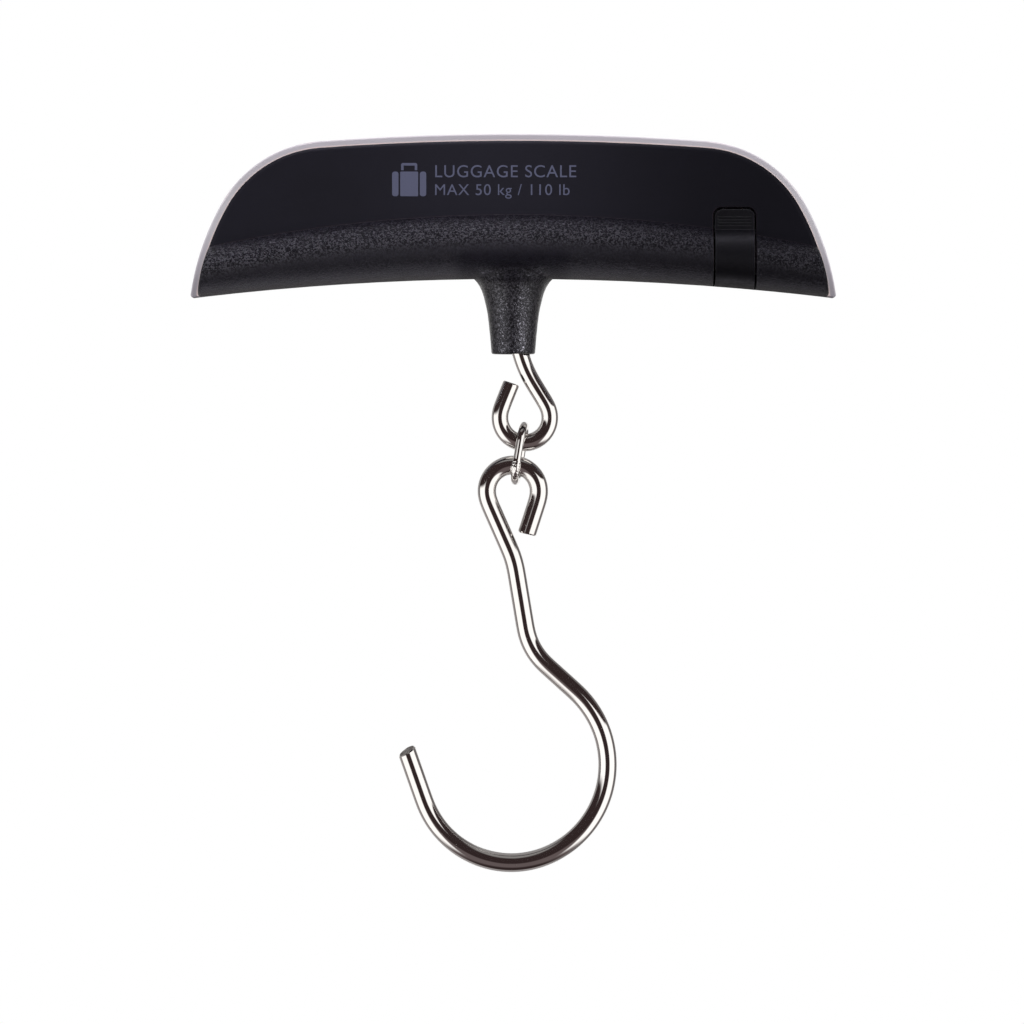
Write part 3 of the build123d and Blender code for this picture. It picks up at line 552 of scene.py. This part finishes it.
def swept_wire(name, centre, radius, body, node, closed=False, around=56, chamfer=0.0,
               lean_in_plane=(0.0, 0.0), lean_across=(0.0, 0.0), weld=None):
    """Round wire along centre (N, 3) in mm.

    Open ends get a small chamfer and a sheared face; the leans (start, end) tilt that face,
    as shares of the radius. weld gives the lumpiness at each centre point.
    """
    count = len(centre)
    if closed:
        tangent = np.roll(centre, -1, 0) - np.roll(centre, 1, 0)
    else:
        tangent = np.gradient(centre, axis=0)
    tangent /= np.linalg.norm(tangent, axis=1)[:, None]
    plane_normal = np.array([0.0, 1.0, 0.0])
    if closed:
        plane_normal = np.cross(tangent[0], tangent[count // 6])
        plane_normal /= np.linalg.norm(plane_normal)
    in_plane = np.cross(plane_normal, tangent)
    in_plane /= np.linalg.norm(in_plane, axis=1)[:, None]
    across = np.cross(tangent, in_plane)
    travel = np.r_[0, np.cumsum(np.linalg.norm(np.diff(centre, axis=0), axis=1))]
    angles = np.linspace(0, 2 * math.pi, around, endpoint=False)
    cosines, sines = np.cos(angles), np.sin(angles)
    rings = []      # (points, distance along the wire, belongs to an end face)

    def add_ring(i, ring_radius, shift=0.0, end=0, lean=0.0, is_face=False):
        offset = in_plane[i] * cosines[:, None] + across[i] * sines[:, None]
        points = centre[i] + offset * np.reshape(ring_radius, (-1, 1))
        slope = lean_in_plane[end] * cosines + lean_across[end] * sines
        along = shift + lean * slope * radius
        rings.append((points + tangent[i] * along[:, None], travel[i], is_face))

    def add_face_rings(i, end):
        """Core and rim of an end face, in order along the wire."""
        pair = [(radius * CORE_SHARE, END_BULGE * (2 * end - 1)), (radius - chamfer, 0.0)]
        for ring_radius, shift in reversed(pair) if end else pair:
            add_ring(i, ring_radius, shift, end, lean=1.0, is_face=True)

    if not closed:
        add_face_rings(0, end=0)
    for i in range(count):
        from_start, from_end = travel[i], travel[-1] - travel[i]
        if not closed and min(from_start, from_end) < chamfer:
            continue
        surface = centre[i] + (in_plane[i] * cosines[:, None]
                               + across[i] * sines[:, None]) * radius
        # drawn wire is never quite true
        ring_radius = radius + 0.006 * rough_noise(surface, scale=0.55, seed=3)
        if weld is not None and weld[i] > 0:
            lumps = (0.16 + 0.11 * rough_noise(surface, scale=5.5, seed=11)
                     + 0.06 * rough_noise(surface, scale=13.0, seed=5))
            ring_radius = ring_radius + weld[i] * lumps
        end = 0 if from_start < END_LENGTH else 1
        lean = max(0.0, 1 - (from_end if end else from_start) / END_LENGTH)
        add_ring(i, ring_radius, end=end, lean=0.0 if closed else lean)
    if not closed:
        add_face_rings(count - 1, end=1)

    bm = bmesh.new()
    uv_layer = bm.loops.layers.uv.new("UVMap")
    verts = [[bm.verts.new(Vector(point * MM)) for point in ring[0]] for ring in rings]
    total = len(verts)
    closing = np.linalg.norm(centre[0] - centre[-1])
    for i in range(total if closed else total - 1):
        j = (i + 1) % total
        here = rings[i][1]
        there = rings[j][1] if j else here + closing
        for k in range(around):
            k2 = (k + 1) % around
            face = bm.faces.new((verts[i][k], verts[i][k2], verts[j][k2], verts[j][k]))
            face.smooth = True
            face.material_index = 1 if rings[i][2] and rings[j][2] else 0
            corners = ((here, k), (here, k + 1), (there, k + 1), (there, k))
            for loop, (distance, turn) in zip(face.loops, corners):
                loop[uv_layer].uv = (distance, turn / around)
    if not closed:
        for ring in (list(reversed(verts[0])), verts[-1]):
            bm.faces.new(ring).material_index = 1
    obj = mesh_object(name, bm, MATERIALS["chrome_wire"], CUT_END)
    obj.data.set_sharp_from_angle(angle=math.radians(38))
    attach(obj, body)
    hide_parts(node)


# straight stem from inside the handle, ending in an open eye
STEM_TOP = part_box("stem_hook")[1].z / MM
STEM_BEND_Z = -17.12
stem = chain((0.0, STEM_TOP), -90.0, [
    ("line", STEM_TOP - STEM_BEND_Z), ("arc", 12.0, 15.7), ("line", 4.966),
    ("arc", 24.48, 15.8), ("line", 6.1), ("arc", 5.875, -233.4), ("line", 6.36)])
# small upper eye, shank, then the wide load hook
hook = chain((3.155, -66.98), 72.12, [
    ("line", 8.6), ("arc", 6.12, 221.57), ("line", 12.37), ("arc", 20.65, -14.37),
    ("line", 13.6), ("arc", 14.88, 38.56), ("line", 9.27), ("arc", 23.17, -116.84),
    ("arc", 21.70, -91.59), ("line", 12.5)])
swept_wire("swivel_eye_wire", stem, radius=2.0, body="swivel_eye", node="stem_hook",
           chamfer=0.22, lean_in_plane=(0.0, 0.04))
swept_wire("load_hook_wire", hook, radius=2.2, body="load_hook", node="main_hook",
           chamfer=0.28, lean_in_plane=(0.05, 0.22), lean_across=(0.0, 0.24))

# link ring: an oval loop standing nearly in the YZ plane, joining the eye and the hook
LINK_HALF_LENGTH, LINK_HALF_WIDTH = 6.5, 3.45
LINK_STRAIGHT = LINK_HALF_LENGTH - LINK_HALF_WIDTH      # half the straight leg
LINK_CENTRE = np.array([1.515, 0.0, -48.0])
LINK_LEAN = math.radians(9.45)      # long axis, from Z towards +X
LINK_TWIST = math.radians(6.0)      # about the long axis
LEG_STEPS, BEND_STEPS = 60, 110
WELD_HEIGHT, WELD_REACH = -3.4, 1.9     # place along the long axis and half length

leg = LINK_STRAIGHT * (2 * np.arange(LEG_STEPS) / LEG_STEPS - 1)
bend = math.pi * np.arange(BEND_STEPS) / BEND_STEPS
half_loop = np.vstack([
    np.c_[np.full(LEG_STEPS, LINK_HALF_WIDTH), leg],
    np.c_[LINK_HALF_WIDTH * np.cos(bend), LINK_STRAIGHT + LINK_HALF_WIDTH * np.sin(bend)]])
outline = np.vstack([half_loop, -half_loop])
long_axis = np.array([math.sin(LINK_LEAN), 0.0, math.cos(LINK_LEAN)])
short_axis = np.array([math.sin(LINK_TWIST) * math.cos(LINK_LEAN), math.cos(LINK_TWIST),
                       -math.sin(LINK_TWIST) * math.sin(LINK_LEAN)])
link = LINK_CENTRE + outline[:, :1] * short_axis + outline[:, 1:] * long_axis
# the welded joint lies on the -Y side, in the lower half
weld = np.maximum(0.0, 1 - abs(outline[:, 1] - WELD_HEIGHT) / WELD_REACH) ** 0.6
weld[outline[:, 0] > 0] = 0.0
swept_wire("link_ring_wire", link, radius=0.95, body="connecting_link", node="link_ring",
           closed=True, around=44, weld=weld)

# ---------------------------------------------------------------------------
# Print on the rear panel, keys and display: generic marks only
# ---------------------------------------------------------------------------
PANEL_INK = printed_ink("panel_print", srgb(75, 77, 97))
KEY_INK = printed_ink("key_print", srgb(196, 197, 200))
SEGMENT_INK = printed_ink("lcd_segment", srgb(26, 29, 26))
INK = 0.02          # film thickness of flat prints


def fit(obj, body):
    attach(obj, body)


def flat_piece(name, outlines, y, thick, material, body):
    """Closed thin prints from (x, z) outlines, standing `thick` off plane y."""
    bm = bmesh.new()
    for outline in outlines:
        front, back = ([bm.verts.new((px * MM, plane * MM, pz * MM)) for px, pz in outline]
                       for plane in (y + thick, y))
        bm.faces.new(front)
        bm.faces.new(list(reversed(back)))
        for i in range(len(outline)):
            j = (i + 1) % len(outline)
            bm.faces.new((front[i], back[i], back[j], front[j]))
    fit(mesh_object(name, bm, material), body)


def frame_piece(name, outer, inner, y, thick, material, body):
    """Flat closed frame between two outlines of equal point count."""
    bm = bmesh.new()
    outer0, inner0, outer1, inner1 = (
        [bm.verts.new((px * MM, plane * MM, pz * MM)) for px, pz in outline]
        for plane in (y, y + thick) for outline in (outer, inner))
    for i in range(len(outer)):
        j = (i + 1) % len(outer)
        bm.faces.new((outer0[i], outer0[j], inner0[j], inner0[i]))
        bm.faces.new((outer1[j], outer1[i], inner1[i], inner1[j]))
        bm.faces.new((outer0[j], outer0[i], outer1[i], outer1[j]))
        bm.faces.new((inner0[i], inner0[j], inner1[j], inner1[i]))
    fit(mesh_object(name, bm, material), body)


def text_piece(name, text, size, x, z, y, thick, material, body, facing, align="CENTER"):
    """Raised text centred in depth on plane y, read from -Y (facing -1) or +Y (facing 1)."""
    curve = bpy.data.curves.new(name, "FONT")
    curve.body = text
    curve.size = size * MM
    curve.align_x = align
    curve.align_y = "CENTER"
    curve.extrude = thick * MM / 2
    curve.space_character = 1.08
    source = bpy.data.objects.new(name, curve)
    scene.collection.objects.link(source)
    turn = Matrix.Rotation(math.pi / 2, 4, "X")
    if facing > 0:
        turn = Matrix.Rotation(math.pi, 4, "Z") @ turn
    source.matrix_world = Matrix.Translation((x * MM, y * MM, z * MM)) @ turn
    bpy.context.view_layer.update()
    depsgraph = bpy.context.evaluated_depsgraph_get()
    mesh = bpy.data.meshes.new_from_object(source.evaluated_get(depsgraph))
    mesh.transform(source.matrix_world)
    # the curve goes first, so that the mesh object gets its name
    bpy.data.objects.remove(source)
    bpy.data.curves.remove(curve)
    obj = bpy.data.objects.new(name, mesh)
    scene.collection.objects.link(obj)
    mesh.materials.clear()
    mesh.materials.append(material)
    fit(obj, body)


def arc_points(x, z, radius, start, sweep, steps):
    angles = (math.radians(start + sweep * i / steps) for i in range(steps + 1))
    return [(x + radius * math.cos(a), z + radius * math.sin(a)) for a in angles]


def rounded(x0, z0, x1, z1, radius):
    """Rectangle outline with rounded corners."""
    corners = ((x1 - radius, z1 - radius), (x0 + radius, z1 - radius),
               (x0 + radius, z0 + radius), (x1 - radius, z0 + radius))
    return [point for i, (x, z) in enumerate(corners)
            for point in arc_points(x, z, radius, start=90 * i, sweep=90, steps=6)]


# suitcase pictogram: body in three panels, handle over it
PANEL_Y = -6.0
CASE_X, CASE_Z = -24.4, 15.6
CASE_BOTTOM, CASE_TOP = -3.4, 2.4
CASE_PANELS = ((-4.0, -2.5, 0.6), (-2.1, 2.1, 0.25), (2.5, 4.0, 0.6))     # x0, x1, corner
CASE_HANDLE = (     # x, z from the case centre
    (-1.9, 2.7), (-1.3, 2.7), (-1.3, 3.8), (1.3, 3.8), (1.3, 2.7),
    (1.9, 2.7), (1.9, 4.1), (1.6, 4.4), (-1.6, 4.4), (-1.9, 4.1))
case = [rounded(CASE_X + x0, CASE_Z + CASE_BOTTOM, CASE_X + x1, CASE_Z + CASE_TOP, corner)
        for x0, x1, corner in CASE_PANELS]
case.append([(CASE_X + x, CASE_Z + z) for x, z in CASE_HANDLE])
flat_piece("panel_print_case", case, PANEL_Y, -INK, PANEL_INK, "handle")
for name, text, size, z in (("panel_print_use", "LUGGAGE SCALE", 4.1, 17.9),
                            ("panel_print_capacity", "MAX 50 kg / 110 lb", 3.7, 13.6)):
    text_piece(name, text, size, x=-18.6, z=z, y=PANEL_Y - 0.005, thick=0.03,
               material=PANEL_INK, body="handle", facing=-1,
               align="LEFT")

# display: seven-segment digits and unit
LCD_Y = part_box("lcd_panel")[1].y / MM
DIGIT_Z, DIGIT_WIDTH, DIGIT_HEIGHT = 11.0, 5.6, 9.6
BAR, BAR_GAP = 1.05, 0.12           # width of a segment and space at its tips
DIGITS = ((11.0, "bc"), (4.4, "abcdefg"), (-3.4, "abdeg"))     # centre x, lit segments: 1 8 2


def digit(x, lit):
    """Outlines of one digit's lit segments; seen from +Y, so x runs to the left."""
    half = BAR / 2
    side = DIGIT_WIDTH / 2 - half
    rise = DIGIT_HEIGHT / 2 - half
    z = DIGIT_Z

    def level(bar_z):
        tip = side - BAR_GAP
        flat = tip - half
        return [(x - tip, bar_z), (x - flat, bar_z + half), (x + flat, bar_z + half),
                (x + tip, bar_z), (x + flat, bar_z - half), (x - flat, bar_z - half)]

    def upright(bar_x, z0, z1):
        low, high = z0 + BAR_GAP, z1 - BAR_GAP
        return [(bar_x, low), (bar_x + half, low + half), (bar_x + half, high - half),
                (bar_x, high), (bar_x - half, high - half), (bar_x - half, low + half)]

    shapes = {"a": level(z + rise), "g": level(z), "d": level(z - rise),
              "f": upright(x + side, z, z + rise), "b": upright(x - side, z, z + rise),
              "e": upright(x + side, z - rise, z), "c": upright(x - side, z - rise, z)}
    return [shapes[segment] for segment in lit]


segments = [outline for x, lit in DIGITS for outline in digit(x, lit)]
segments.append(rounded(0.1, 6.3, 1.1, 7.3, radius=0.2))        # decimal point
flat_piece("lcd_digits", segments, LCD_Y, INK, SEGMENT_INK, "handle")
text_piece("lcd_unit", "kg", size=4.2, x=-11.5, z=8.6, y=LCD_Y + 0.01, thick=0.02,
           material=SEGMENT_INK, body="handle", facing=1)

# dark mask printed behind the lens edge
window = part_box("display_window")


def window_outline(inset_x, inset_z, radius):
    return rounded(window[0].x / MM + inset_x, window[0].z / MM + inset_z,
                   window[1].x / MM - inset_x, window[1].z / MM - inset_z, radius)


frame_piece("window_mask", window_outline(inset_x=0.15, inset_z=0.15, radius=2.3),
            window_outline(inset_x=3.4, inset_z=3.0, radius=0.8),
            y=window[0].y / MM - 0.035, thick=0.03,
            material=printed_ink("window_mask_ink", srgb(22, 22, 25)),
            body="handle")

# key symbols: broken ring with a bar on one key, units on the other
KEY_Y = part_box("power_button")[1].y / MM
KEY_X, KEY_Z = 38.0, 9.0
RING_OUTER, RING_INNER = 2.1, 1.65
RING_GAP = 38           # degrees left open on each side of the bar
BAR_HALF_WIDTH = 0.23
ring_outer, ring_inner = (
    arc_points(KEY_X, KEY_Z - 0.2, radius, start=90 + RING_GAP, sweep=360 - 2 * RING_GAP,
               steps=24) for radius in (RING_OUTER, RING_INNER))
ring_bar = rounded(KEY_X - BAR_HALF_WIDTH, KEY_Z + 0.1, KEY_X + BAR_HALF_WIDTH, KEY_Z + 2.5,
                   radius=0.15)
flat_piece("power_symbol", [ring_outer + ring_inner[::-1], ring_bar], KEY_Y, INK, KEY_INK,
           "power_key")
text_piece("unit_symbol", "kg | lb", size=3.1, x=-KEY_X, z=KEY_Z, y=KEY_Y + 0.005,
           thick=0.02, material=KEY_INK, body="unit_key", facing=1)

# ---------------------------------------------------------------------------
# Floor, light and camera, in metres
# ---------------------------------------------------------------------------


def pale_floor():
    """Faintly glowing white, clear when seen from below."""
    mat = Material("pale_floor")
    tone = mat.noise(scale=0.004, detail=2.0)
    material = mat.finish(
        Base_Color=mat.mix(tone, (0.90, 0.90, 0.90, 1), (0.93, 0.93, 0.93, 1)),
        Roughness=0.7, Emission_Color=(1, 1, 1, 1), Emission_Strength=0.22)
    below = mat.node("NewGeometry").outputs["Backfacing"]
    clear = mat.node("BsdfTransparent").outputs[0]
    mat.put(mat.output.inputs["Surface"], mat.mix_shader(below, mat.bsdf.outputs[0], clear))
    return material


bm = bmesh.new()
bmesh.ops.create_grid(bm, x_segments=8, y_segments=8, size=1.6)
floor = mesh_object("floor", bm, pale_floor(), recalc=False)
floor.location = (0, 0, -0.30)
floor.visible_glossy = False
floor.visible_diffuse = False


def studio_reflections(sky, x, y, z):
    """Soft boxes and dark flags, placed by view direction (x, y, z)."""
    from_middle = sky.math("ABSOLUTE", x)
    # two upright soft boxes left and right of the camera; the one at +X is hung higher
    side = sky.ramp(from_middle, start=0.36, end=0.50)
    low = sky.ramp(z, start=-0.84, end=-0.62)
    right = sky.ramp(x, start=-0.05, end=0.10)
    high_left = sky.ramp(z, start=0.20, end=0.06)
    high_right = sky.ramp(z, start=0.40, end=0.34)
    high = sky.add(high_left, sky.mul(right, sky.sub(high_right, high_left)))
    front = sky.ramp(y, start=0.22, end=-0.08)
    boxes = sky.mul(sky.mul(side, low), sky.mul(high, front))
    # dark room with a dim top and a dim table
    top = sky.ramp(z, start=0.76, end=0.90)
    table = sky.mul(sky.ramp(z, start=-0.12, end=-0.36), sky.ramp(z, start=-0.97, end=-0.80))
    table_share = 0.9
    colour = sky.mix(top, (0.034, 0.022, 0.022, 1), (0.27, 0.26, 0.255, 1))
    colour = sky.mix(sky.mul(table, table_share), colour, (0.15, 0.119, 0.120, 1))
    # the +Y side: grey, paler below, darker towards +X
    behind = sky.ramp(y, start=0.20, end=0.42)
    colour = sky.mix(behind, colour, (0.32, 0.31, 0.31, 1))
    colour = sky.mix(sky.mul(behind, sky.ramp(z, start=0.05, end=-0.25)), colour,
                     (0.36, 0.34, 0.34, 1))
    flag = sky.mul(sky.ramp(x, start=0.25, end=0.45), sky.ramp(y, start=0.85, end=0.65))
    colour = sky.mix(sky.mul(behind, flag), colour, (0.16, 0.15, 0.15, 1))
    colour = sky.mix(boxes, colour, (1.30, 1.285, 1.27, 1))
    # a pair of boxes far out along +Y, for the display side, with a dark gap between
    rear_boxes = sky.mul(
        sky.mul(sky.ramp(y, start=0.80, end=0.90), sky.ramp(from_middle, start=0.07, end=0.16)),
        sky.mul(sky.ramp(z, start=-0.55, end=-0.35), sky.ramp(z, start=0.50, end=0.30)))
    colour = sky.mix(rear_boxes, colour, (1.05, 1.04, 1.03, 1))
    rear_gap = sky.mul(
        sky.mul(sky.ramp(y, start=0.92, end=0.97), sky.ramp(from_middle, start=0.13, end=0.05)),
        sky.ramp(z, start=0.5, end=0.3))
    return sky.mix(rear_gap, colour, (0.05, 0.045, 0.045, 1))


def studio_world():
    """White to the eye, the studio in reflections, a soft vertical fade as diffuse light."""
    world = bpy.data.worlds.new("studio")
    scene.world = world
    world.use_nodes = True
    sky = Nodes(world.node_tree)

    def background(colour):
        return sky.node("Background", {0: colour, 1: 1.0}).outputs[0]

    direction = sky.node("TexCoord").outputs["Generated"]
    x, y, z = sky.node("SeparateXYZ", {0: direction}).outputs
    reflected = background(studio_reflections(sky, x, y, z))
    diffuse = background(sky.mix(sky.ramp(z, start=-0.55, end=0.65),
                                 (0.22, 0.22, 0.25, 1), (0.95, 0.95, 1.0, 1)))
    seen = background((1, 1, 1, 1))
    rays = sky.node("LightPath").outputs
    unseen = sky.mix_shader(rays["Is Glossy Ray"], diffuse, reflected)
    surface = sky.mix_shader(rays["Is Camera Ray"], unseen, seen)
    sky.node("OutputWorld", {"Surface": surface})


studio_world()


def area(name, place, target, size, power, colour=(1, 1, 1)):
    """Rectangular light of size (width, height), aimed at target, unseen in reflections."""
    light = bpy.data.lights.new(name, "AREA")
    light.shape = "RECTANGLE"
    light.size, light.size_y = size
    light.energy = power
    light.color = colour
    obj = bpy.data.objects.new(name, light)
    obj.location = place
    aim = Vector(target) - Vector(place)
    obj.rotation_euler = aim.to_track_quat("-Z", "Y").to_euler()
    obj.visible_glossy = False
    scene.collection.objects.link(obj)
    return obj


area("key_top", (0.0, -0.35, 0.85), target=(0, 0, 0), size=(0.9, 0.5), power=9.0)
for name, x in (("fill_left", -0.9), ("fill_right", 0.9)):
    area(name, (x, -0.55, 0.15), target=(0, 0, -0.03), size=(0.35, 0.9), power=4.0)

# highlights that fall on the black mouldings only
SHEENS = (      # name, place, (width, height), power
    ("sheen_top", (-0.05, 0.12, 0.85), (0.50, 0.20), 3.2),
    ("sheen_left", (-0.87, -0.50, -0.20), (0.12, 0.5), 3.2),
    ("sheen_right", (0.76, -0.64, -0.20), (0.12, 0.5), 6.4),
    ("sheen_low", (0.0, 0.40, -0.75), (0.60, 0.25), 2.2),
)
mouldings = bpy.data.collections.new("mouldings")
for node in ("rear_housing", "battery_door"):
    mouldings.objects.link(NODES[node])
for name, place, size, power in SHEENS:
    sheen = area(name, place, target=(0, 0, 0), size=size, power=power,
                 colour=(0.88, 0.85, 1.0))
    sheen.visible_glossy = True
    sheen.visible_diffuse = False
    sheen.light_linking.receiver_collection = mouldings

CAMERA_DISTANCE = 2.4
FIELD_WIDTH = 0.2406        # width seen at the handle
SENSOR_WIDTH = 36.0
camera_data = bpy.data.cameras.new("camera")
camera_data.sensor_width = SENSOR_WIDTH
camera_data.lens = SENSOR_WIDTH * CAMERA_DISTANCE / FIELD_WIDTH
camera_data.clip_start = 0.05
camera_data.clip_end = 20.0
camera = bpy.data.objects.new("camera", camera_data)
camera.location = (-0.0003, -CAMERA_DISTANCE, -0.0618)
camera.rotation_euler = (math.pi / 2, 0, 0)
scene.collection.objects.link(camera)
scene.camera = camera
scene.view_settings.view_transform = "Standard"
